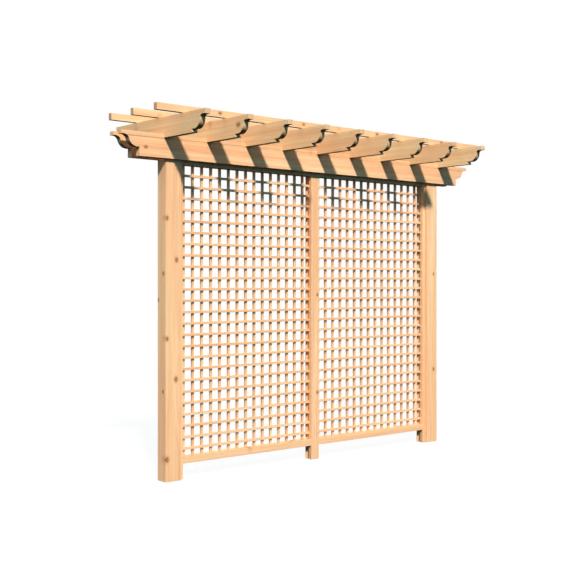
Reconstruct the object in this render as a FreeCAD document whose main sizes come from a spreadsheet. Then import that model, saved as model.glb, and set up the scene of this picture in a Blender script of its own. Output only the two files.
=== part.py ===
import FreeCAD, Part
import math
import os
import re

import Sketcher

# A free-standing cedar pergola: three posts carry a header of two boards, rafters lie across the boards and
# purlins lie across the rafters. The two bays between the posts hold square lattice in a grooved frame.
# X runs along the header, -Y is the front, Z is up. The origin is on the ground under its middle.

# Driving dimensions in millimetres, and counts
SIZES = {
    "overall_width": 3072,
    "post_height": 2435,
    "post_top_gap": 13,
    "end_post_width": 139,
    "end_post_depth": 110,
    "centre_post_width": 86,
    "frame_setback": 22,
    "frame_depth": 77,
    "stile_width": 33,
    "bottom_rail_height": 53,
    "bottom_rail_lift": 118,
    "top_rail_height": 30,
    "top_rail_rise": 60,
    "groove_depth": 12,
    "groove_clearance": 1.5,
    "lattice_setback": 33,
    "slat_width": 19,
    "slat_thickness": 18,
    "slat_pitch": 87.6,
    "first_row_gap": 53,
    "first_column_gap": 43,
    "last_slat_gap": 40,
    "beam_overhang": 401,
    "beam_height": 180,
    "beam_board_thickness": 50,
    "beam_gap": 66,
    "beam_nose_height": 27.5,
    "beam_nose_flat": 21,
    "beam_ogee_run": 115,
    "beam_ogee_drop": 86.5,
    "beam_cove_run": 43,
    "beam_tip_flat": 18,
    "beam_lip_reach": 1,
    "rafter_count": 9,
    "rafter_outset": 9,
    "rafter_end_gap": 394,
    "rafter_length": 1202,
    "rafter_height": 156,
    "rafter_thickness": 50,
    "rafter_notch": 27,
    "rafter_seat_clearance": 0.5,
    "rafter_nose_height": 37,
    "rafter_nose_flat": 35,
    "rafter_ogee_run": 97,
    "rafter_ogee_drop": 95,
    "rafter_cove_run": 26,
    "rafter_tip_flat": 35,
    "rafter_lip_reach": 11,
    "purlin_overhang": 253,
    "purlin_width": 41,
    "purlin_height": 52,
    "purlin_spacing": 312,
    "screw_shank_diameter": 6,
    "screw_head_diameter": 12,
    "screw_head_height": 4,
    "screw_head_recess": 1,
    "screw_clearance": 0.25,
    "screw_tip_gap": 2,
    "purlin_screw_bite": 45,
    "rafter_screw_bite": 60,
    "beam_screw_bite": 25,
    "centre_screw_bite": 50,
    "beam_screw_spacing": 36,
    "stile_screw_bite": 50,
    "stile_screw_count": 4,
    "top_rail_screw_bite": 40,
    "top_rail_screw_count": 3,
}

# Places that several pieces share, as formulas of the driving dimensions
POST_TONGUE = "(beam_height - rafter_notch - post_top_gap)"
BEAM_BACK = "(beam_gap / 2 + beam_board_thickness)"
RAFTER_BOTTOM = "(post_height + beam_height - rafter_notch)"
RAFTER_TOP = "(post_height + beam_height - rafter_notch + rafter_height)"
PURLIN_TOP = "(post_height + beam_height - rafter_notch + rafter_height + purlin_height)"
FRAME_FRONT = "(frame_setback - end_post_depth / 2)"
FRAME_TONGUE = "(end_post_depth / 2 - frame_setback + beam_gap / 2)"
LATTICE_FRONT = "(frame_setback - end_post_depth / 2 + lattice_setback)"
LATTICE_MIDDLE = "(frame_setback - end_post_depth / 2 + lattice_setback + slat_thickness)"
LATTICE_THICKNESS = "(2 * slat_thickness)"
END_POST_CENTRE = "(overall_width / 2 - end_post_width / 2)"
BOTTOM_RAIL_TOP = "(bottom_rail_lift + bottom_rail_height)"
TOP_RAIL_BOTTOM = "(post_height - top_rail_height)"
BAY_HEIGHT = "(post_height - top_rail_height - bottom_rail_lift - bottom_rail_height)"
TONGUE = "(groove_depth - groove_clearance)"
FIRST_ROW = "(bottom_rail_lift + bottom_rail_height + first_row_gap)"
RAFTER_SPAN = "(overall_width + 2 * rafter_outset)"
RAFTER_SPACING = "((%s - 2 * rafter_end_gap) / (rafter_count - 3))" % RAFTER_SPAN
PURLIN_LENGTH = "(overall_width + 2 * rafter_outset + 2 * purlin_overhang)"

# The middle of each header board across the pergola
BOARD_PLACES = {
    "front": "(-(beam_gap + beam_board_thickness) / 2)",
    "rear": "((beam_gap + beam_board_thickness) / 2)",
}

# The two lattice bays: how far out each opening reaches, how wide it is, where its left edge is,
# and where its first upright slat stands
BAY_OUTER = "(overall_width / 2 - end_post_width - stile_width)"
BAY_WIDTH = "(%s - centre_post_width / 2)" % BAY_OUTER
BAY_LEFT_EDGES = {"left": "(-%s)" % BAY_OUTER, "right": "(centre_post_width / 2)"}
FIRST_COLUMN = {side: "(%s + first_column_gap)" % edge for side, edge in BAY_LEFT_EDGES.items()}

AXES = {"x": FreeCAD.Vector(1, 0, 0), "y": FreeCAD.Vector(0, 1, 0), "z": FreeCAD.Vector(0, 0, 1)}

doc = FreeCAD.newDocument("Pergola")
sheet = doc.addObject("Spreadsheet::Sheet", "Sizes")
sub_parts = []


def fill_sheet():
    for row, (alias, size) in enumerate(SIZES.items(), start=1):
        sheet.set("A%d" % row, alias)
        sheet.set("B%d" % row, str(size))
        sheet.setAlias("B%d" % row, alias)
    doc.recompute()


def sheet_formula(formula):
    """Point every size name in a formula at its cell."""
    return re.sub(r"[a-z_]{2,}", r"Sizes.\g<0>", formula)


def bind(item, path, formula):
    item.setExpression(path, sheet_formula(formula))


def value(formula):
    """The present value of a formula, for counts and for a sketch's first shape."""
    return float(sheet.evalExpression(sheet_formula(formula)))


def bind_place(item, place):
    for axis, formula in zip("xyz", place):
        bind(item, "Placement.Base." + axis, formula)


def plus(formula, offset):
    return "(" + formula + " + " + offset + ")"


def minus(formula, offset):
    return "(" + formula + " - " + offset + ")"


def box(name, place, size):
    """A block with its lowest corner at place."""
    item = doc.addObject("Part::Box", name)
    for side, formula in zip(("Length", "Width", "Height"), size):
        bind(item, side, formula)
    bind_place(item, place)
    return item


def cylinder(name, place, direction, radius, length):
    """A round bar that starts at place and runs along a direction such as +z."""
    item = doc.addObject("Part::Cylinder", name)
    bind(item, "Radius", radius)
    bind(item, "Height", length)
    heading = AXES[direction[1]] * (1 if direction[0] == "+" else -1)
    item.Placement.Rotation = FreeCAD.Rotation(AXES["z"], heading)
    bind_place(item, place)
    return item


def moved(place, direction, distance):
    """A place moved by a distance along a direction such as -x."""
    shift = plus if direction[0] == "+" else minus
    return tuple(
        shift(formula, distance) if axis == direction[1] else formula
        for axis, formula in zip("xyz", place)
    )


def opposite(direction):
    return ("-" if direction[0] == "+" else "+") + direction[1]


def fuse(name, members):
    item = doc.addObject("Part::MultiFuse", name)
    item.Shapes = members
    return item


def group(name, members):
    item = doc.addObject("Part::Compound", name)
    item.Links = members
    return item


def cut(name, base, tools):
    item = doc.addObject("Part::Cut", name)
    item.Base = base
    item.Tool = tools[0] if len(tools) == 1 else group(name + "_cutters", tools)
    return item


def sub_part(item, label):
    item.Label = label
    sub_parts.append(item)


def screw(name, surface, direction, length):
    """A screw whose head is sunk below a surface, and the hole that takes it."""
    head_top = moved(surface, direction, "screw_head_recess")
    seat = moved(head_top, direction, "screw_head_height")
    head = cylinder(name + "_head", head_top, direction, "screw_head_diameter / 2", "screw_head_height")
    shank = cylinder(name + "_shank", seat, direction, "screw_shank_diameter / 2", length)
    sink = cylinder(
        name + "_sink", seat, opposite(direction),
        "screw_head_diameter / 2 + screw_clearance", "screw_head_height + 2 * screw_head_recess")
    bore = cylinder(
        name + "_bore", seat, direction,
        "screw_shank_diameter / 2 + screw_clearance", plus(length, "screw_tip_gap"))
    return fuse(name, [head, shank]), fuse(name + "_hole", [sink, bore])


class EndProfile:
    """The ogee end of a timber, as named formulas. Every length is measured along or across the timber."""

    def __init__(self, timber, half_length):
        self.half_length = half_length
        self.height = timber + "_height"
        self.nose_height = timber + "_nose_height"
        self.nose_flat = timber + "_nose_flat"
        self.ogee_run = timber + "_ogee_run"
        self.ogee_drop = timber + "_ogee_drop"
        self.cove_run = timber + "_cove_run"
        self.tip_flat = timber + "_tip_flat"
        self.lip_reach = timber + "_lip_reach"


def arc_through(centre, radius, start_angle, end_angle):
    circle = Part.Circle(centre, AXES["z"], radius)
    return Part.ArcOfCircle(circle, start_angle, end_angle)


def draw_half_outline(sketch, profile):
    """Half of a timber's outline: up from its underside over the lip, belly, cove and nose to its top."""
    half_length = value(profile.half_length)
    height = value(profile.height)
    nose_flat = value(profile.nose_flat)
    ogee_run = value(profile.ogee_run)
    ogee_drop = value(profile.ogee_drop)
    lip_reach = value(profile.lip_reach)
    cove_share = value(profile.cove_run) / ogee_run

    nose_bottom = height - value(profile.nose_height)
    lip_height = nose_bottom - ogee_drop
    cove_start = half_length - nose_flat
    belly_start = cove_start - ogee_run
    tip = belly_start - value(profile.tip_flat)

    # Both ogee arcs start level and meet at the same slope, so their chords lie on one line
    turn = 2 * math.atan2(ogee_drop, ogee_run)
    radii_sum = ogee_run / math.sin(turn)
    cove_radius = cove_share * radii_sum
    belly_radius = radii_sum - cove_radius
    # The lip stands upright at the underside and leans in towards the tip
    lip_radius = (lip_reach ** 2 + lip_height ** 2) / (2 * lip_reach)
    lip_turn = math.asin(lip_height / lip_radius)

    def point(along, up):
        return FreeCAD.Vector(along, up, 0)

    def line(start, end):
        return sketch.addGeometry(Part.LineSegment(start, end))

    right_angle = math.pi / 2
    underside = line(point(0, 0), point(tip + lip_reach, 0))
    lip = sketch.addGeometry(
        arc_through(point(tip + lip_reach - lip_radius, 0), lip_radius, 0, lip_turn))
    tip_flat = line(point(tip, lip_height), point(belly_start, lip_height))
    belly = sketch.addGeometry(arc_through(
        point(belly_start, lip_height + belly_radius), belly_radius, -right_angle, turn - right_angle))
    cove = sketch.addGeometry(arc_through(
        point(cove_start, nose_bottom - cove_radius), cove_radius, right_angle, turn + right_angle))
    nose_flat_line = line(point(cove_start, nose_bottom), point(half_length, nose_bottom))
    nose = line(point(half_length, nose_bottom), point(half_length, height))
    top = line(point(half_length, height), point(0, height))
    middle = line(point(0, height), point(0, 0))

    start, end, centre = 1, 2, 3
    origin = -1

    def hold(*rule):
        return sketch.addConstraint(Sketcher.Constraint(*rule))

    hold("Coincident", underside, start, origin, start)
    hold("Coincident", underside, end, lip, start)
    hold("Coincident", lip, end, tip_flat, start)
    hold("Coincident", tip_flat, end, belly, start)
    hold("Tangent", belly, end, cove, end)
    hold("Coincident", cove, start, nose_flat_line, start)
    hold("Coincident", nose_flat_line, end, nose, start)
    hold("Coincident", nose, end, top, start)
    hold("Coincident", top, end, middle, start)
    hold("Coincident", middle, end, underside, start)
    for level in (underside, tip_flat, nose_flat_line, top):
        hold("Horizontal", level)
    for upright in (nose, middle):
        hold("Vertical", upright)
    hold("Horizontal", lip, centre, lip, start)
    hold("Vertical", belly, centre, belly, start)
    hold("Vertical", cove, centre, cove, start)

    def dimension(direction, first, second, formula):
        rule = hold(direction, *first, *second, value(formula))
        bind(sketch, "Constraints[%d]" % rule, formula)

    dimension("DistanceX", (top, end), (top, start), profile.half_length)
    dimension("DistanceY", (middle, end), (middle, start), profile.height)
    dimension("DistanceY", (nose, start), (nose, end), profile.nose_height)
    dimension("DistanceX", (nose_flat_line, start), (nose_flat_line, end), profile.nose_flat)
    dimension("DistanceX", (belly, start), (cove, start), profile.ogee_run)
    dimension("DistanceY", (belly, start), (cove, start), profile.ogee_drop)
    dimension("DistanceX", (cove, end), (cove, start), profile.cove_run)
    dimension("DistanceX", (tip_flat, start), (tip_flat, end), profile.tip_flat)
    dimension("DistanceX", (lip, end), (lip, start), profile.lip_reach)


def profiled_timber(name, profile, outline_plane, middle_plane, thickness, place):
    """A timber with the same ogee at both ends: half of it is padded, then mirrored."""
    body = doc.addObject("PartDesign::Body", name)
    planes = {feature.Role: feature for feature in body.Origin.OriginFeatures}
    sketch = body.newObject("Sketcher::SketchObject", name + "_outline")
    sketch.AttachmentSupport = [(planes[outline_plane], "")]
    sketch.MapMode = "FlatFace"
    draw_half_outline(sketch, profile)
    pad = body.newObject("PartDesign::Pad", name + "_half")
    pad.Profile = sketch
    pad.SideType = "Symmetric"
    bind(pad, "Length", thickness)
    doc.recompute()
    mirrored = body.newObject("PartDesign::Mirrored", name + "_whole")
    mirrored.Originals = [pad]
    mirrored.MirrorPlane = (planes[middle_plane], [""])
    body.Tip = mirrored
    bind_place(body, place)
    return body


def rafter_x(index):
    """The middle of a rafter. The end rafters stand a little further from their neighbours."""
    if index == 0:
        return "(-%s / 2)" % RAFTER_SPAN
    if index == value("rafter_count") - 1:
        return "(%s / 2)" % RAFTER_SPAN
    return "((%d - (rafter_count - 1) / 2) * %s)" % (index, RAFTER_SPACING)


def count_along(length, first_gap):
    """How many slats fit along a length after the first gap."""
    room = value(minus(minus(length, first_gap), "last_slat_gap"))
    return int(room // value("slat_pitch")) + 1


def spread(count, places):
    """Pick a few gaps, evenly spread, out of the gaps between slats."""
    gaps = places - 1
    return [int((pick + 0.5) * gaps / count) for pick in range(count)]


def beam_screws():
    """Screws from the back of the header into the posts. At the end posts they reach the front board."""
    screws, holes = [], []
    through = "(beam_gap + beam_screw_bite)"
    posts = {
        "left": (minus("0", END_POST_CENTRE), through),
        "centre": ("0", "centre_screw_bite"),
        "right": (END_POST_CENTRE, through),
    }
    height = "(post_height + %s / 2)" % POST_TONGUE
    for post, (centre, bite) in posts.items():
        for side, shift in (("a", minus), ("b", plus)):
            surface = (shift(centre, "beam_screw_spacing / 2"), BEAM_BACK, height)
            made, hole = screw(
                "beam_screw_%s_%s" % (post, side), surface, "-y",
                "(beam_board_thickness - screw_head_height - screw_head_recess + %s)" % bite)
            screws.append(made)
            holes.append((post, hole))
    sub_part(group("BeamScrews", screws), "beam_screws")
    return holes


def stile_screws(row_count):
    screws, holes = [], []
    sides = {"left": (minus("0", plus(BAY_OUTER, "groove_depth")), "-x"),
             "right": (plus(BAY_OUTER, "groove_depth"), "+x")}
    rows = spread(int(value("stile_screw_count")), row_count)
    for side, (groove_floor, direction) in sides.items():
        for row in rows:
            height = "(%s + %s * slat_pitch)" % (FIRST_ROW, row + 0.5)
            made, hole = screw(
                "stile_screw_%s_%d" % (side, row), (groove_floor, LATTICE_MIDDLE, height), direction,
                "(stile_width - groove_depth - screw_head_height - screw_head_recess"
                " + stile_screw_bite)")
            screws.append(made)
            holes.append((side, hole))
    sub_part(group("StileScrews", screws), "stile_screws")
    return holes


def top_rail_screws(column_count):
    """Screws through the rear board into the hidden upper part of each top rail."""
    screws, holes = [], []
    height = "(post_height + top_rail_rise / 2)"
    for side, first_column in FIRST_COLUMN.items():
        for column in spread(int(value("top_rail_screw_count")), column_count):
            along = "(%s + %s * slat_pitch)" % (first_column, column + 0.5)
            made, hole = screw(
                "top_rail_screw_%s_%d" % (side, column), (along, BEAM_BACK, height), "-y",
                "(beam_board_thickness - screw_head_height - screw_head_recess + top_rail_screw_bite)")
            screws.append(made)
            holes.append((side, hole))
    sub_part(group("TopRailScrews", screws), "top_rail_screws")
    return holes


def roof_screws(rafter_total, purlin_rows):
    """Screws down through purlin and rafter, and through rafter and header board, with their holes."""
    purlin_made, purlin_holes = [], []
    rafter_made, rafter_holes = [], []
    for index in range(rafter_total):
        for row, across in purlin_rows.items():
            made, hole = screw(
                "purlin_screw_%s_%d" % (row, index + 1), (rafter_x(index), across, PURLIN_TOP), "-z",
                "(purlin_height - screw_head_height - screw_head_recess + purlin_screw_bite)")
            purlin_made.append(made)
            purlin_holes.append((row, index, hole))
        for side, across in BOARD_PLACES.items():
            made, hole = screw(
                "rafter_screw_%s_%d" % (side, index + 1), (rafter_x(index), across, RAFTER_TOP), "-z",
                "(rafter_height - rafter_notch - screw_head_height - screw_head_recess"
                " + rafter_screw_bite)")
            rafter_made.append(made)
            rafter_holes.append((index, side, hole))
    sub_part(group("PurlinScrews", purlin_made), "purlin_screws")
    sub_part(group("RafterScrews", rafter_made), "rafter_screws")
    return purlin_holes, rafter_holes


def post_blank(name, left_edge, size, front, tongue_front, tongue_depth):
    """A post cut back at its top to a tongue between the header boards, which rest on its shoulders."""
    width, depth = size
    timber = box(name + "_timber", (left_edge, front, "0"), (width, depth, "post_height"))
    tongue = box(
        name + "_tongue", (left_edge, tongue_front, "post_height"), (width, tongue_depth, POST_TONGUE))
    return fuse(name + "_blank", [timber, tongue])


def make_posts(beam_holes, stile_holes):
    for side in ("left", "right"):
        outer_edge = "-overall_width / 2" if side == "left" else "overall_width / 2 - end_post_width"
        blank = post_blank(
            "EndPost_" + side, outer_edge, ("end_post_width", "end_post_depth"), "-end_post_depth / 2",
            "-beam_gap / 2", "beam_gap")
        tools = [hole for post, hole in beam_holes if post == side]
        tools += [hole for stile, hole in stile_holes if stile == side]
        sub_part(cut("EndPost_" + side, blank, tools), "end_post_" + side)

    blank = post_blank(
        "CentrePost", "-centre_post_width / 2", ("centre_post_width", "frame_depth"), FRAME_FRONT,
        FRAME_FRONT, FRAME_TONGUE)
    grooves = [
        box("CentreGroove_" + side, (edge, LATTICE_FRONT, "0"),
            ("groove_depth", LATTICE_THICKNESS, "post_height"))
        for side, edge in (("left", "-centre_post_width / 2"),
                           ("right", "centre_post_width / 2 - groove_depth"))
    ]
    tools = grooves + [hole for post, hole in beam_holes if post == "centre"]
    sub_part(cut("CentrePost", blank, tools), "centre_post")


def make_stiles(stile_holes):
    for side in ("left", "right"):
        timber_edge = minus("0", plus(BAY_OUTER, "stile_width")) if side == "left" else BAY_OUTER
        groove_edge = minus("0", plus(BAY_OUTER, "groove_depth")) if side == "left" else BAY_OUTER
        timber = box(
            "StileTimber_" + side, (timber_edge, FRAME_FRONT, "0"),
            ("stile_width", "frame_depth", "post_height"))
        groove = box(
            "StileGroove_" + side, (groove_edge, LATTICE_FRONT, "0"),
            ("groove_depth", LATTICE_THICKNESS, "post_height"))
        tools = [groove] + [hole for stile, hole in stile_holes if stile == side]
        sub_part(cut("Stile_" + side, timber, tools), "stile_" + side)


def make_rail(side, row, bottom, rail_height, groove_bottom, rises, holes):
    """A rail between its stile and the centre post. Its stub tenons fill the ends of their grooves."""
    left_edge = BAY_LEFT_EDGES[side]
    name = "%s_rail_%s" % (row, side)
    timber = box(
        name + "_timber", (left_edge, FRAME_FRONT, bottom), (BAY_WIDTH, "frame_depth", rail_height))
    tenons = box(
        name + "_tenons", (minus(left_edge, TONGUE), LATTICE_FRONT, bottom),
        (plus(BAY_WIDTH, "2 * " + TONGUE), LATTICE_THICKNESS, rail_height))
    groove = box(
        name + "_groove", (minus(left_edge, "groove_depth"), LATTICE_FRONT, groove_bottom),
        (plus(BAY_WIDTH, "2 * groove_depth"), LATTICE_THICKNESS, "groove_depth"))
    blank = fuse(name + "_blank", [timber, tenons] + rises)
    sub_part(cut(name + "_cut", blank, [groove] + holes), name)


def make_rails(rail_holes):
    """The top rails rise between the header boards, where the rear board is screwed to them."""
    for side, left_edge in BAY_LEFT_EDGES.items():
        make_rail(
            side, "bottom", "bottom_rail_lift", "bottom_rail_height",
            minus(BOTTOM_RAIL_TOP, "groove_depth"), [], [])
        rise = box(
            "TopRailRise_" + side, (left_edge, FRAME_FRONT, "post_height"),
            (BAY_WIDTH, FRAME_TONGUE, "top_rail_rise"))
        holes = [hole for bay, hole in rail_holes if bay == side]
        make_rail(side, "top", TOP_RAIL_BOTTOM, "top_rail_height", TOP_RAIL_BOTTOM, [rise], holes)


def make_lattice(row_count, column_count):
    """Level slats in front, upright slats behind, with their ends in the grooves of the frame."""
    for side, left_edge in BAY_LEFT_EDGES.items():
        rows = [
            box("row_%s_%d" % (side, row + 1),
                (minus(left_edge, TONGUE), LATTICE_FRONT,
                 "(%s + %d * slat_pitch - slat_width / 2)" % (FIRST_ROW, row)),
                (plus(BAY_WIDTH, "2 * " + TONGUE), "slat_thickness", "slat_width"))
            for row in range(row_count)
        ]
        columns = [
            box("column_%s_%d" % (side, column + 1),
                ("(%s + %d * slat_pitch - slat_width / 2)" % (FIRST_COLUMN[side], column),
                 LATTICE_MIDDLE, minus(BOTTOM_RAIL_TOP, TONGUE)),
                ("slat_width", "slat_thickness", plus(BAY_HEIGHT, "2 * " + TONGUE)))
            for column in range(column_count)
        ]
        sub_part(group("Rows_" + side, rows), "lattice_horizontals_" + side)
        sub_part(group("Columns_" + side, columns), "lattice_verticals_" + side)


def make_header(holes):
    profile = EndProfile("beam", "overall_width / 2 + beam_overhang")
    for side, across in BOARD_PLACES.items():
        timber = profiled_timber(
            "HeaderTimber_" + side, profile, "XZ_Plane", "YZ_Plane",
            "beam_board_thickness", ("0", across, "post_height"))
        sub_part(cut("HeaderBoard_" + side, timber, holes[side]), "header_board_" + side)


def make_rafters(rafter_total, purlin_holes, rafter_holes):
    profile = EndProfile("rafter", "rafter_length / 2")
    for index in range(rafter_total):
        name = "Rafter%d" % (index + 1)
        timber = profiled_timber(
            name + "Timber", profile, "YZ_Plane", "XZ_Plane", "rafter_thickness",
            (rafter_x(index), "0", RAFTER_BOTTOM))
        tools = [
            box(name + "Seat_" + side,
                (minus(rafter_x(index), "rafter_thickness / 2"),
                 minus(across, "(beam_board_thickness / 2 + rafter_seat_clearance)"), RAFTER_BOTTOM),
                ("rafter_thickness", "beam_board_thickness + 2 * rafter_seat_clearance", "rafter_notch"))
            for side, across in BOARD_PLACES.items()
        ]
        tools += [hole for _, place, hole in purlin_holes if place == index]
        tools += [hole for place, _, hole in rafter_holes if place == index]
        sub_part(cut(name, timber, tools), "rafter_%d" % (index + 1))


def make_purlins(purlin_rows, purlin_holes):
    for row, across in purlin_rows.items():
        timber = box(
            "PurlinTimber_" + row,
            ("-%s / 2" % PURLIN_LENGTH, minus(across, "purlin_width / 2"), RAFTER_TOP),
            (PURLIN_LENGTH, "purlin_width", "purlin_height"))
        holes = [hole for place, _, hole in purlin_holes if place == row]
        sub_part(cut("Purlin_" + row, timber, holes), "purlin_" + row)


def check_document():
    """Stop before anything is written if a feature failed or a piece is not sound."""
    for item in doc.Objects:
        if "Invalid" in item.State or "Error" in item.State:
            raise RuntimeError("%s failed: %s" % (item.Name, item.State))
    for item in sub_parts:
        if item.Shape.isNull() or not item.Shape.isValid() or not item.Shape.Solids:
            raise RuntimeError("%s has no sound shape" % item.Label)


def write_parts():
    os.makedirs("parts", exist_ok=True)
    for item in sub_parts:
        item.Shape.exportStep("parts/%s.step" % item.Label)


def main():
    fill_sheet()
    row_count = count_along(BAY_HEIGHT, "first_row_gap")
    column_count = count_along(BAY_WIDTH, "first_column_gap")
    rafter_total = int(value("rafter_count"))
    purlin_rows = {"front": "(-purlin_spacing)", "middle": "0", "rear": "purlin_spacing"}

    beam_holes = beam_screws()
    stile_holes = stile_screws(row_count)
    rail_holes = top_rail_screws(column_count)
    purlin_holes, rafter_holes = roof_screws(rafter_total, purlin_rows)

    make_posts(beam_holes, stile_holes)
    make_stiles(stile_holes)
    make_rails(rail_holes)
    make_lattice(row_count, column_count)
    board_holes = {
        side: [hole for _, board, hole in rafter_holes if board == side] for side in BOARD_PLACES}
    board_holes["front"] += [hole for post, hole in beam_holes if post != "centre"]
    board_holes["rear"] += [hole for _, hole in beam_holes + rail_holes]
    make_header(board_holes)
    make_rafters(rafter_total, purlin_holes, rafter_holes)
    make_purlins(purlin_rows, purlin_holes)

    doc.recompute()
    check_document()
    write_parts()


main()
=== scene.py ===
"""Looks for the cedar pergola: procedural timber and screw materials, light, floor and camera."""
import math
import random
from collections import namedtuple

import bpy
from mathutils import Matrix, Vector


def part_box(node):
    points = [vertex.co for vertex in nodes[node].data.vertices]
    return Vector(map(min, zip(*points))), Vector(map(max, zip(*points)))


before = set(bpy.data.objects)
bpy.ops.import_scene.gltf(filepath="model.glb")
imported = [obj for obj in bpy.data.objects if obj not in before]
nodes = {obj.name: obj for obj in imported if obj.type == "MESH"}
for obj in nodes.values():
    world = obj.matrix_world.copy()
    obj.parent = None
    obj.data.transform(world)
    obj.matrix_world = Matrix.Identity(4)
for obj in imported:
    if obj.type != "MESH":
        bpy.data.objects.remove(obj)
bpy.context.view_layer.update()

# The photograph's camera, found by fitting it to the posts, lattice, header and rafters
PHOTO_SIDE_PX = 565
PHOTO_FOCAL_PX = 1011.75
SENSOR_WIDTH_MM = 36.0
CAMERA_PLACE = (-5.798, -6.417, 1.513)
CAMERA_YAW = math.radians(40.4)
CAMERA_PITCH = math.radians(-0.064)
CAMERA_REACH = 400.0

# Lamps as far off as the sun: the way their light travels, its colour, strength and softness.
# The fill comes from the left. The back lamp is level and warm against the blue-green sky.
Lamp = namedtuple("Lamp", "travel colour strength angle")
LAMPS = {
    "key": Lamp((0.60, 1.10, -1.0), (1.0, 0.885, 0.79), 4.45, math.radians(4)),
    "fill": Lamp((1.0, 0.0, -0.70), (1.0, 0.85, 0.62), 0.42, math.radians(20)),
    "back": Lamp((-0.55, -1.0, 0.0), (1.0, 0.60, 0.36), 1.8, math.radians(20)),
}
SKY_COLOUR = (0.14, 0.385, 0.52)
WHITE = (1.0, 1.0, 1.0)

# The floor as the camera sees it, mostly glow, and as it gives light back, nearly none
FLOOR_SIDE = 160.0
FLOOR_DROP = 0.0005
FLOOR_GLOW = 0.94
FLOOR_GRIT_SCALE = (3.0, 3.0, 3.0)
FLOOR_PALE = ((0.97, 0.97, 0.965), (0.99, 0.99, 0.985))
FLOOR_DULL = ((0.004, 0.004, 0.004), (0.008, 0.008, 0.008))

# Cedar colours, as linear values. Latewood, ends, the painted underside shade and tints multiply the wood
# below them.
CEDAR_PINK = (0.885, 0.480, 0.262)
CEDAR_WARM = (0.925, 0.535, 0.295)
CEDAR_LIGHT = (0.945, 0.605, 0.340)
CEDAR_SAP = (0.965, 0.700, 0.425)
FLECK = (0.46, 0.22, 0.105)
KNOT_HALO = (0.62, 0.30, 0.14)
KNOT_RIM = (0.245, 0.098, 0.042)
KNOT_CORE = (0.420, 0.185, 0.080)
LATEWOOD = (0.84, 0.71, 0.60)
END_GRAIN = (0.70, 0.62, 0.66)
END_RINGS = (0.50, 0.40, 0.40)
# Painted shade: faces turned down are multiplied by this colour, standing in for the shade under the header,
# rafters and rails.
PAINTED_UNDERSIDE_SHADE = (0.16, 0.20, 0.13)
PLAIN = (1.0, 1.0, 1.0)
RAFTER_TINT = (0.90, 0.99, 1.0)

# How fine each part of the wood's figure is, across, across and along the grain, per metre
WANDER_SCALE = (0.9, 0.9, 0.75)
RIPPLE_SCALE = (26.0, 26.0, 2.1)
RING_PATCH_SCALE = (11.0, 11.0, 0.9)
BAND_SCALE = (17.0, 17.0, 0.42)
STREAK_SCALE = (120.0, 120.0, 1.7)
FIBRE_SCALE = (520.0, 520.0, 9.0)
FLECK_SCALE = (230.0, 230.0, 11.0)
SPECKLE_SCALE = (420.0, 420.0, 300.0)

# How far the pith wanders, rings ripple and rings swell round a knot, and the relief, in metres
PITH_DRIFT = 0.075
RING_RIPPLE = 0.0085
KNOT_SWELL = 0.019
WOOD_RELIEF = 0.0012
STEEL_RELIEF = 0.0003

# Knots reach a short way in and are a little longer along the grain
KNOT_REACH = 0.4
KNOT_LENGTH = 0.72
KNOT_RADII = (0.008, 0.015)
KNOT_EDGE_SHARE = 0.2

# How far the figure shifts between timbers and between slats, and how far slats differ in tone
FIGURE_SPREAD = 40.0
SLAT_SPREAD = (37.0, 91.0, 53.0)
SLAT_TONE = 0.22

STEEL_DARK = (0.50, 0.50, 0.49)
STEEL_LIGHT = (0.66, 0.66, 0.65)
STEEL_SPOT = (0.33, 0.31, 0.29)
SPANGLE_SCALE = 900.0
SCRATCH_SCALE = (2600.0, 300.0, 900.0)
SPOT_SCALE = (420.0, 420.0, 420.0)

TIMBER_EASE = 0.0014
SLAT_EASE = 0.0009
EASE_ANGLE = math.radians(40)
WELD_DISTANCE = 0.00002

FIGURE_SEED = 100
SLAT_SEED = 300
PITH_SEED = 700
KNOT_SEED = 40

# How the axes of the frame map to across, across and along the grain
GRAIN_ORDER = {"X": "YZX", "Y": "XZY", "Z": "XYZ"}
GRAIN_AXES = {"X": (1.0, 0.0, 0.0), "Y": (0.0, 1.0, 0.0), "Z": (0.0, 0.0, 1.0)}
DOWN = (0.0, 0.0, -1.0)

# Grain axis, knots besides the photograph's, ring spacing, shift towards sapwood and stain of the ends
Timber = namedtuple("Timber", "grain knots ring sap_shift end_stain")
TIMBERS = {
    "end_post_left": Timber("Z", 2, 0.0066, 0.00, 0.3),
    "end_post_right": Timber("Z", 6, 0.0064, 0.03, 0.3),
    "centre_post": Timber("Z", 6, 0.0058, -0.02, 0.3),
    "stile_left": Timber("Z", 4, 0.0052, -0.02, 0.3),
    "stile_right": Timber("Z", 5, 0.0052, -0.02, 0.3),
    "bottom_rail_left": Timber("X", 3, 0.0054, 0.03, 0.3),
    "bottom_rail_right": Timber("X", 3, 0.0054, 0.00, 0.3),
    "top_rail_left": Timber("X", 2, 0.0054, 0.00, 0.3),
    "top_rail_right": Timber("X", 2, 0.0054, 0.00, 0.3),
    "header_board_front": Timber("X", 7, 0.0078, -0.01, 0.1),
    "purlin_front": Timber("X", 1, 0.0056, 0.05, 1.0),
    "purlin_middle": Timber("X", 5, 0.0056, 0.04, 1.0),
    "purlin_rear": Timber("X", 5, 0.0056, 0.02, 1.0),
}
RAFTER_SAP_SHIFTS = (-0.01, 0.01, 0.00, 0.02, -0.03, 0.01, 0.02, -0.04, 0.03)
for number, shift in enumerate(RAFTER_SAP_SHIFTS, start=1):
    TIMBERS["rafter_%d" % number] = Timber("Y", 2, 0.0068, shift, 0.1)
TIMBERS["header_board_rear"] = Timber("X", 7, 0.0074, 0.00, 0.1)

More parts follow.
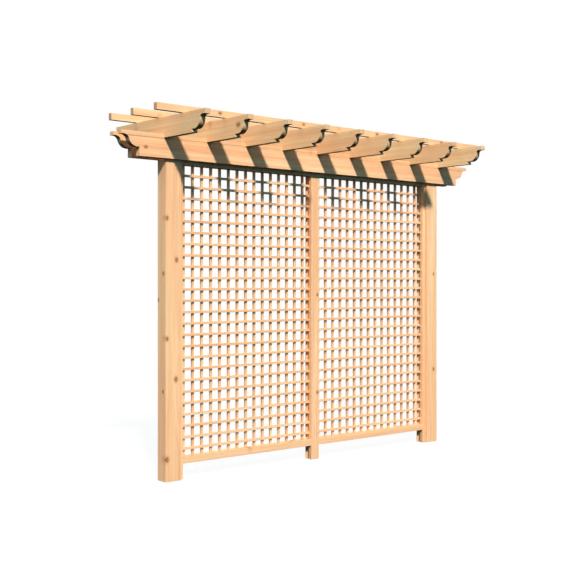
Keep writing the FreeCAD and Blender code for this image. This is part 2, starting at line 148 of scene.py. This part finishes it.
LATTICE = {
    "lattice_horizontals_left": "X", "lattice_horizontals_right": "X",
    "lattice_verticals_left": "Z", "lattice_verticals_right": "Z",
}
SLAT_PITH = (0.35, 0.6)
SLAT_RING = 0.0055
SLAT_STAIN = 0.3
SCREWS = ("purlin_screws", "rafter_screws", "beam_screws", "stile_screws", "top_rail_screws")
PURLINS = ("purlin_front", "purlin_middle", "purlin_rear")

# Knots that show in the photograph, on a timber's front or left face: which of the two axes across the grain
# the branch runs along, the knot's place across and along that face from its low corner, and its radius
PHOTO_KNOTS = {
    "header_board_front": [(0, 0.070, 0.207, 0.010)],
    "rafter_2": [(0, 0.090, 0.121, 0.015)],
    "purlin_front": [(0, 0.030, along, 0.010) for along in (0.564, 1.402, 2.243, 3.080)],
    "end_post_left": [
        (1, 0.012, 1.990, 0.011), (1, 0.098, 1.676, 0.012), (1, 0.012, 0.169, 0.014),
        (0, 0.032, 1.572, 0.010), (0, 0.101, 1.372, 0.009), (1, 0.012, 1.080, 0.011),
        (1, 0.0925, 0.771, 0.013), (0, 0.038, 0.679, 0.009)],
    "centre_post": [(1, 0.070, 1.398, 0.009), (1, 0.069, 0.566, 0.010)],
    "end_post_right": [(1, 0.0956, 1.583, 0.008), (1, 0.0956, 0.684, 0.011)],
}


class Shading:
    """The node tree of a material or world and short ways to add and join its nodes."""

    def __init__(self, owner, output):
        self.owner = owner
        self.output = output
        owner.use_nodes = True
        self.tree = owner.node_tree
        self.tree.nodes.clear()

    def node(self, kind, inputs=(), **settings):
        made = self.tree.nodes.new(kind)
        for key, setting in settings.items():
            setattr(made, key, setting)
        for key, value in dict(inputs).items():
            self.feed(made.inputs[key], value)
        return made

    def feed(self, socket, value):
        if isinstance(value, bpy.types.NodeSocket):
            self.tree.links.new(value, socket)
        elif hasattr(value, "__len__") and socket.type == "RGBA":
            socket.default_value = (*value, 1.0)
        else:
            socket.default_value = value

    def math(self, operation, *values):
        return self.node("ShaderNodeMath", enumerate(values), operation=operation).outputs[0]

    def vector(self, operation, *values):
        made = self.node("ShaderNodeVectorMath", enumerate(values), operation=operation)
        return made.outputs["Value" if operation in ("LENGTH", "DOT_PRODUCT") else "Vector"]

    def scale(self, value, factor):
        made = self.node("ShaderNodeVectorMath", operation="SCALE")
        self.feed(made.inputs[0], value)
        self.feed(made.inputs["Scale"], factor)
        return made.outputs["Vector"]

    def noise(self, place, scale, detail=2.0, roughness=0.5):
        """Noise with its own scale along each axis: a value from 0 to 1, and a colour."""
        stretched = self.vector("MULTIPLY", place, scale)
        settings = {"Vector": stretched, "Scale": 1.0, "Detail": detail, "Roughness": roughness}
        return self.node("ShaderNodeTexNoise", settings).outputs

    def smooth(self, value, low, high, start=0.0, end=1.0):
        made = self.node(
            "ShaderNodeMapRange",
            {"Value": value, "From Min": low, "From Max": high, "To Min": start, "To Max": end},
            interpolation_type="SMOOTHSTEP")
        return made.outputs["Result"]

    def mix(self, factor, first, second, blend="MIX"):
        # Sockets 6 and 7 are the two colours, and output 2 is the mixed one
        made = self.node("ShaderNodeMix", data_type="RGBA", blend_type=blend)
        self.feed(made.inputs["Factor"], factor)
        self.feed(made.inputs[6], first)
        self.feed(made.inputs[7], second)
        return made.outputs[2]

    def ramp(self, factor, stops):
        made = self.node("ShaderNodeValToRGB", {"Fac": factor})
        points = made.color_ramp.elements
        while len(points) < len(stops):
            points.new(0.5)
        for point, (place, colour) in zip(points, stops):
            point.position = place
            point.color = (*colour, 1.0)
        return made.outputs["Color"]

    def seen_directly(self):
        """1 where the camera, a reflection or a clear body looks, 0 where light bounces."""
        path = self.node("ShaderNodeLightPath").outputs
        mirrored = self.math("MAXIMUM", path["Is Glossy Ray"], path["Is Transmission Ray"])
        return self.math("MAXIMUM", path["Is Camera Ray"], mirrored)

    def finish(self, shader):
        out = self.node(self.output)
        self.tree.links.new(shader, out.inputs["Surface"])
        return self.owner


def new_material(name):
    return Shading(bpy.data.materials.new(name), "ShaderNodeOutputMaterial")


def grain_place(shade, grain):
    """The surface point as across, across, along, in metres."""
    point = shade.node("ShaderNodeTexCoord").outputs["Object"]
    parts = shade.node("ShaderNodeSeparateXYZ", {0: point}).outputs
    ordered = [parts[axis] for axis in GRAIN_ORDER[grain]]
    return shade.node("ShaderNodeCombineXYZ", enumerate(ordered)).outputs[0]


def knot_field(shade, place, knots):
    """Distance to the nearest knot, in knot radii. A knot is a branch that runs into the timber."""
    nearest = None
    for branch, centre, radius in knots:
        scale = [1.0, 1.0, KNOT_LENGTH]
        scale[branch] = KNOT_REACH
        offset = shade.vector("SUBTRACT", place, centre)
        away = shade.vector("LENGTH", shade.vector("MULTIPLY", offset, [part / radius for part in scale]))
        nearest = away if nearest is None else shade.math("MINIMUM", nearest, away)
    return nearest


def growth_rings(shade, place, shifted, pith, ring, knot):
    """Latewood from 0 to 1, in rings round a pith line that wanders along the timber."""
    wander = shade.noise(shifted, WANDER_SCALE, detail=1.5)["Color"]
    drift = shade.vector("SUBTRACT", wander, (0.5, 0.5, 0.5))
    drift = shade.vector("MULTIPLY", drift, (PITH_DRIFT, PITH_DRIFT, 0.0))
    from_pith = shade.vector("ADD", shade.vector("SUBTRACT", place, (*pith, 0.0)), drift)
    radius = shade.vector("LENGTH", shade.vector("MULTIPLY", from_pith, (1.0, 1.0, 0.0)))
    ripple = shade.noise(shifted, RIPPLE_SCALE, detail=3.0)[0]
    radius = shade.math("MULTIPLY_ADD", ripple, RING_RIPPLE, radius)
    if knot is not None:
        radius = shade.math("ADD", radius, shade.smooth(knot, 0.7, 3.4, KNOT_SWELL, 0.0))
    phase = shade.math("FRACT", shade.math("DIVIDE", radius, ring))
    rise = shade.smooth(phase, 0.28, 0.86)
    fall = shade.smooth(phase, 0.93, 1.0, 1.0, 0.0)
    strength = shade.smooth(shade.noise(shifted, RING_PATCH_SCALE)[0], 0.30, 0.72, 0.25, 1.0)
    return shade.math("MULTIPLY", shade.math("MULTIPLY", rise, fall), strength)


def wood_colour(shade, shifted, bands, tint, latewood, streak, fibre):
    """Heartwood and sapwood with darker latewood, streaks, fibres and short dark flecks."""
    colour = shade.ramp(bands, [
        (0.30, CEDAR_PINK), (0.44, CEDAR_WARM), (0.57, CEDAR_LIGHT), (0.72, CEDAR_SAP)])
    colour = shade.mix(1.0, colour, tint, "MULTIPLY")
    colour = shade.mix(shade.math("MULTIPLY", latewood, 0.38), colour, LATEWOOD, "MULTIPLY")
    streak_shade = shade.smooth(streak, 0.25, 0.75, 0.92, 1.06)
    fibre_shade = shade.smooth(fibre, 0.25, 0.75, 0.965, 1.03)
    colour = shade.scale(colour, shade.math("MULTIPLY", streak_shade, fibre_shade))
    fleck = shade.smooth(shade.noise(shifted, FLECK_SCALE, detail=1.0)[0], 0.70, 0.80)
    return shade.mix(shade.math("MULTIPLY", fleck, 0.35), colour, FLECK)


def stain_knots(shade, colour, shifted, knot):
    """A ragged dark knot with a lighter heart and a warm halo."""
    colour = shade.mix(shade.smooth(knot, 1.0, 2.5, 0.55, 0.0), colour, KNOT_HALO)
    speckle = shade.noise(shifted, SPECKLE_SCALE, detail=2.0)[0]
    inside = shade.smooth(shade.math("MULTIPLY_ADD", speckle, 0.35, knot), 1.02, 1.32, 1.0, 0.0)
    heart = shade.mix(shade.smooth(knot, 0.35, 1.0), KNOT_CORE, KNOT_RIM)
    return shade.mix(shade.math("MULTIPLY", inside, 0.86), colour, heart)


def stain_ends_paint_underside_shade(shade, colour, timber, latewood):
    """Sawn ends drink in more stain and show the rings, and faces turned down get painted shade."""
    normal = shade.node("ShaderNodeNewGeometry").outputs["True Normal"]
    facing = shade.math("ABSOLUTE", shade.vector("DOT_PRODUCT", normal, GRAIN_AXES[timber.grain]))
    end = shade.smooth(facing, 0.62, 0.97, 0.0, timber.end_stain)
    end_rings = shade.mix(shade.math("MULTIPLY", latewood, 0.7), END_GRAIN, END_RINGS)
    colour = shade.mix(end, colour, end_rings, "MULTIPLY")
    # Painted shade: the more a face turns downwards, the more it is multiplied by the underside shade
    # colour.
    down = shade.vector("DOT_PRODUCT", normal, DOWN)
    return shade.mix(shade.smooth(down, 0.35, 0.85), colour, PAINTED_UNDERSIDE_SHADE, "MULTIPLY")


def cedar(name, timber, seed, pith, knots=(), tint=PLAIN, islands=False):
    """Sawn cedar: growth rings round a pith line, sapwood bands, fibres, knots and end grain."""
    shade = new_material("cedar_" + name)
    draw = random.Random(seed)
    place = grain_place(shade, timber.grain)
    shift = tuple(draw.uniform(-FIGURE_SPREAD, FIGURE_SPREAD) for _ in range(3))
    shifted = shade.vector("ADD", place, shift)
    tone = None
    if islands:
        tone = shade.node("ShaderNodeNewGeometry").outputs["Random Per Island"]
        shifted = shade.vector("ADD", shifted, shade.scale(SLAT_SPREAD, tone))
    knot = knot_field(shade, place, knots) if knots else None
    latewood = growth_rings(shade, place, shifted, pith, timber.ring, knot)

    bands = shade.noise(shifted, BAND_SCALE, detail=3.0, roughness=0.62)[0]
    bands = shade.math("ADD", bands, timber.sap_shift)
    if islands:
        bands = shade.math("ADD", bands, shade.math("MULTIPLY_ADD", tone, SLAT_TONE, -SLAT_TONE / 2))
    fibre = shade.noise(shifted, FIBRE_SCALE, detail=2.0)[0]
    streak = shade.noise(shifted, STREAK_SCALE, detail=3.0, roughness=0.6)[0]
    colour = wood_colour(shade, shifted, bands, tint, latewood, streak, fibre)
    if knot is not None:
        colour = stain_knots(shade, colour, shifted, knot)
    colour = stain_ends_paint_underside_shade(shade, colour, timber, latewood)

    relief = shade.math("MULTIPLY_ADD", latewood, 0.5, shade.math("MULTIPLY_ADD", streak, 0.6, fibre))
    bump = shade.node("ShaderNodeBump", {"Strength": 0.30, "Distance": WOOD_RELIEF, "Height": relief})
    roughness = shade.math("MULTIPLY_ADD", latewood, -0.07, 0.74)
    roughness = shade.math("MULTIPLY_ADD", fibre, 0.16, roughness)
    surface = shade.node("ShaderNodeBsdfPrincipled", {
        "Base Color": colour, "Roughness": roughness, "Specular IOR Level": 0.05,
        "Normal": bump.outputs["Normal"]})
    return shade.finish(surface.outputs["BSDF"])


def screw_steel():
    """Zinc-coated steel: a dull grey skin with spangle, fine scratches and darker spots."""
    shade = new_material("screw_steel")
    place = shade.node("ShaderNodeTexCoord").outputs["Object"]
    spangle = shade.node("ShaderNodeTexVoronoi", {"Vector": place, "Scale": SPANGLE_SCALE}).outputs["Color"]
    flake = shade.node("ShaderNodeSeparateColor", {"Color": spangle}).outputs[0]
    scratch = shade.noise(place, SCRATCH_SCALE, detail=2.0)[0]
    spots = shade.smooth(shade.noise(place, SPOT_SCALE, detail=3.0)[0], 0.52, 0.70)
    colour = shade.mix(flake, STEEL_DARK, STEEL_LIGHT)
    colour = shade.mix(shade.math("MULTIPLY", spots, 0.45), colour, STEEL_SPOT)
    roughness = shade.math("MULTIPLY_ADD", flake, 0.10, 0.30)
    roughness = shade.math("MULTIPLY_ADD", scratch, 0.22, roughness)
    bump = shade.node("ShaderNodeBump", {"Strength": 0.25, "Distance": STEEL_RELIEF, "Height": scratch})
    surface = shade.node("ShaderNodeBsdfPrincipled", {
        "Base Color": colour, "Metallic": 1.0, "Roughness": roughness, "Normal": bump.outputs["Normal"]})
    return shade.finish(surface.outputs["BSDF"])


def grain_box(name, grain):
    """A node's box with its corners as across, across, along."""
    low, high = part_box(name)
    order = ["XYZ".index(axis) for axis in GRAIN_ORDER[grain]]
    return [low[k] for k in order], [high[k] for k in order]


def photo_knots(name, low):
    """The photograph's knots, on the low faces of a timber whose low corner is given."""
    found = []
    for branch, across, along, radius in PHOTO_KNOTS.get(name, []):
        centre = list(low)
        centre[1 - branch] += across
        centre[2] += along
        found.append((branch, centre, radius))
    return found


def random_knots(seed, low, high, count):
    """Knots spread along a timber's far faces, given its box as across, across, along."""
    draw = random.Random(seed)
    found = []
    for index in range(count):
        along = low[2] + (high[2] - low[2]) * (index + draw.uniform(0.15, 0.85)) / count
        centre = []
        for k in (0, 1):
            edge = KNOT_EDGE_SHARE * (high[k] - low[k])
            centre.append(draw.uniform(low[k] + edge, high[k] - edge))
        branch = draw.randint(0, 1)
        centre[branch] = high[branch]
        found.append((branch, (*centre, along), draw.uniform(*KNOT_RADII)))
    return found


def outer_pith(seed, low, high):
    """A pith line outside the timber, so that its faces show arches and its ends show arcs."""
    draw = random.Random(seed)
    turn = draw.uniform(0, 2 * math.pi)
    reach = 0.5 * math.hypot(high[0] - low[0], high[1] - low[1]) + draw.uniform(0.02, 0.07)
    return (
        (low[0] + high[0]) / 2 + reach * math.cos(turn),
        (low[1] + high[1]) / 2 + reach * math.sin(turn))


def dress(name, material):
    slots = nodes[name].data.materials
    slots.clear()
    slots.append(material)


def ease_edges(name, width):
    """Round the sawn edges a little, as a plane or sander leaves them."""
    weld = nodes[name].modifiers.new("weld", "WELD")
    weld.merge_threshold = WELD_DISTANCE
    bevel = nodes[name].modifiers.new("eased_edges", "BEVEL")
    bevel.width = width
    bevel.segments = 2
    bevel.limit_method = "ANGLE"
    bevel.angle_limit = EASE_ANGLE
    bevel.use_clamp_overlap = False
    normals = nodes[name].modifiers.new("normals", "WEIGHTED_NORMAL")
    normals.keep_sharp = True


def dress_timbers():
    for number, (name, timber) in enumerate(TIMBERS.items()):
        low, high = grain_box(name, timber.grain)
        pith = outer_pith(PITH_SEED + number, low, high)
        knots = photo_knots(name, low) + random_knots(KNOT_SEED + number, low, high, timber.knots)
        tint = RAFTER_TINT if name.startswith("rafter_") else PLAIN
        dress(name, cedar(name, timber, FIGURE_SEED + number, pith, knots, tint))
        ease_edges(name, TIMBER_EASE)


def dress_lattice():
    for number, (name, grain) in enumerate(LATTICE.items()):
        slat = Timber(grain, 0, SLAT_RING, 0.0, SLAT_STAIN)
        dress(name, cedar(name, slat, SLAT_SEED + number, SLAT_PITH, islands=True))
        ease_edges(name, SLAT_EASE)


def dress_screws():
    steel = screw_steel()
    for name in SCREWS:
        dress(name, steel)


def hide_purlin_shadows():
    """The purlins throw no shadow in the photograph."""
    for name in PURLINS:
        nodes[name].visible_shadow = False


def make_floor():
    """A plain pale floor. It looks near white with a faint shadow, and gives back little light."""
    half = FLOOR_SIDE / 2
    corners = [(-half, -half, 0), (half, -half, 0), (half, half, 0), (-half, half, 0)]
    mesh = bpy.data.meshes.new("floor")
    mesh.from_pydata(corners, [], [(0, 1, 2, 3)])
    floor = bpy.data.objects.new("floor", mesh)
    bpy.context.scene.collection.objects.link(floor)
    floor.location.z = -FLOOR_DROP

    shade = new_material("floor")
    place = shade.node("ShaderNodeTexCoord").outputs["Object"]
    grit = shade.noise(place, FLOOR_GRIT_SCALE, detail=3.0)[0]
    matt = shade.node("ShaderNodeBsdfDiffuse", {"Color": shade.mix(grit, *FLOOR_PALE)})
    glow = shade.node("ShaderNodeEmission", {"Color": WHITE, "Strength": 1.0})
    pale = shade.node("ShaderNodeMixShader", {0: FLOOR_GLOW, 1: matt.outputs[0], 2: glow.outputs[0]})
    dull = shade.node("ShaderNodeBsdfDiffuse", {"Color": shade.mix(grit, *FLOOR_DULL)})
    choice = shade.node(
        "ShaderNodeMixShader", {0: shade.seen_directly(), 1: dull.outputs[0], 2: pale.outputs[0]})
    mesh.materials.append(shade.finish(choice.outputs[0]))


def make_world():
    """White where the camera looks, a soft even sky for the light."""
    shade = Shading(bpy.data.worlds.new("studio"), "ShaderNodeOutputWorld")
    sky = shade.node("ShaderNodeBackground", {"Color": SKY_COLOUR})
    white = shade.node("ShaderNodeBackground", {"Color": WHITE})
    choice = shade.node(
        "ShaderNodeMixShader", {0: shade.seen_directly(), 1: sky.outputs[0], 2: white.outputs[0]})
    bpy.context.scene.world = shade.finish(choice.outputs[0])


def make_lamps():
    for name, lamp in LAMPS.items():
        light = bpy.data.lights.new(name, "SUN")
        light.color = lamp.colour
        light.energy = lamp.strength
        light.angle = lamp.angle
        sun = bpy.data.objects.new(name, light)
        bpy.context.scene.collection.objects.link(sun)
        east, north, up = lamp.travel
        sun.rotation_euler = (math.atan2(math.hypot(east, north), -up), 0, math.atan2(-east, north))


def make_camera():
    lens = bpy.data.cameras.new("camera")
    lens.sensor_width = SENSOR_WIDTH_MM
    lens.lens = PHOTO_FOCAL_PX / PHOTO_SIDE_PX * SENSOR_WIDTH_MM
    lens.clip_end = CAMERA_REACH
    camera = bpy.data.objects.new("camera", lens)
    bpy.context.scene.collection.objects.link(camera)
    camera.location = CAMERA_PLACE
    camera.rotation_euler = (math.radians(90) + CAMERA_PITCH, 0, -CAMERA_YAW)
    bpy.context.scene.camera = camera


dress_timbers()
dress_lattice()
dress_screws()
hide_purlin_shadows()
make_floor()
make_world()
make_lamps()
make_camera()
bpy.context.scene.view_settings.view_transform = "Standard"
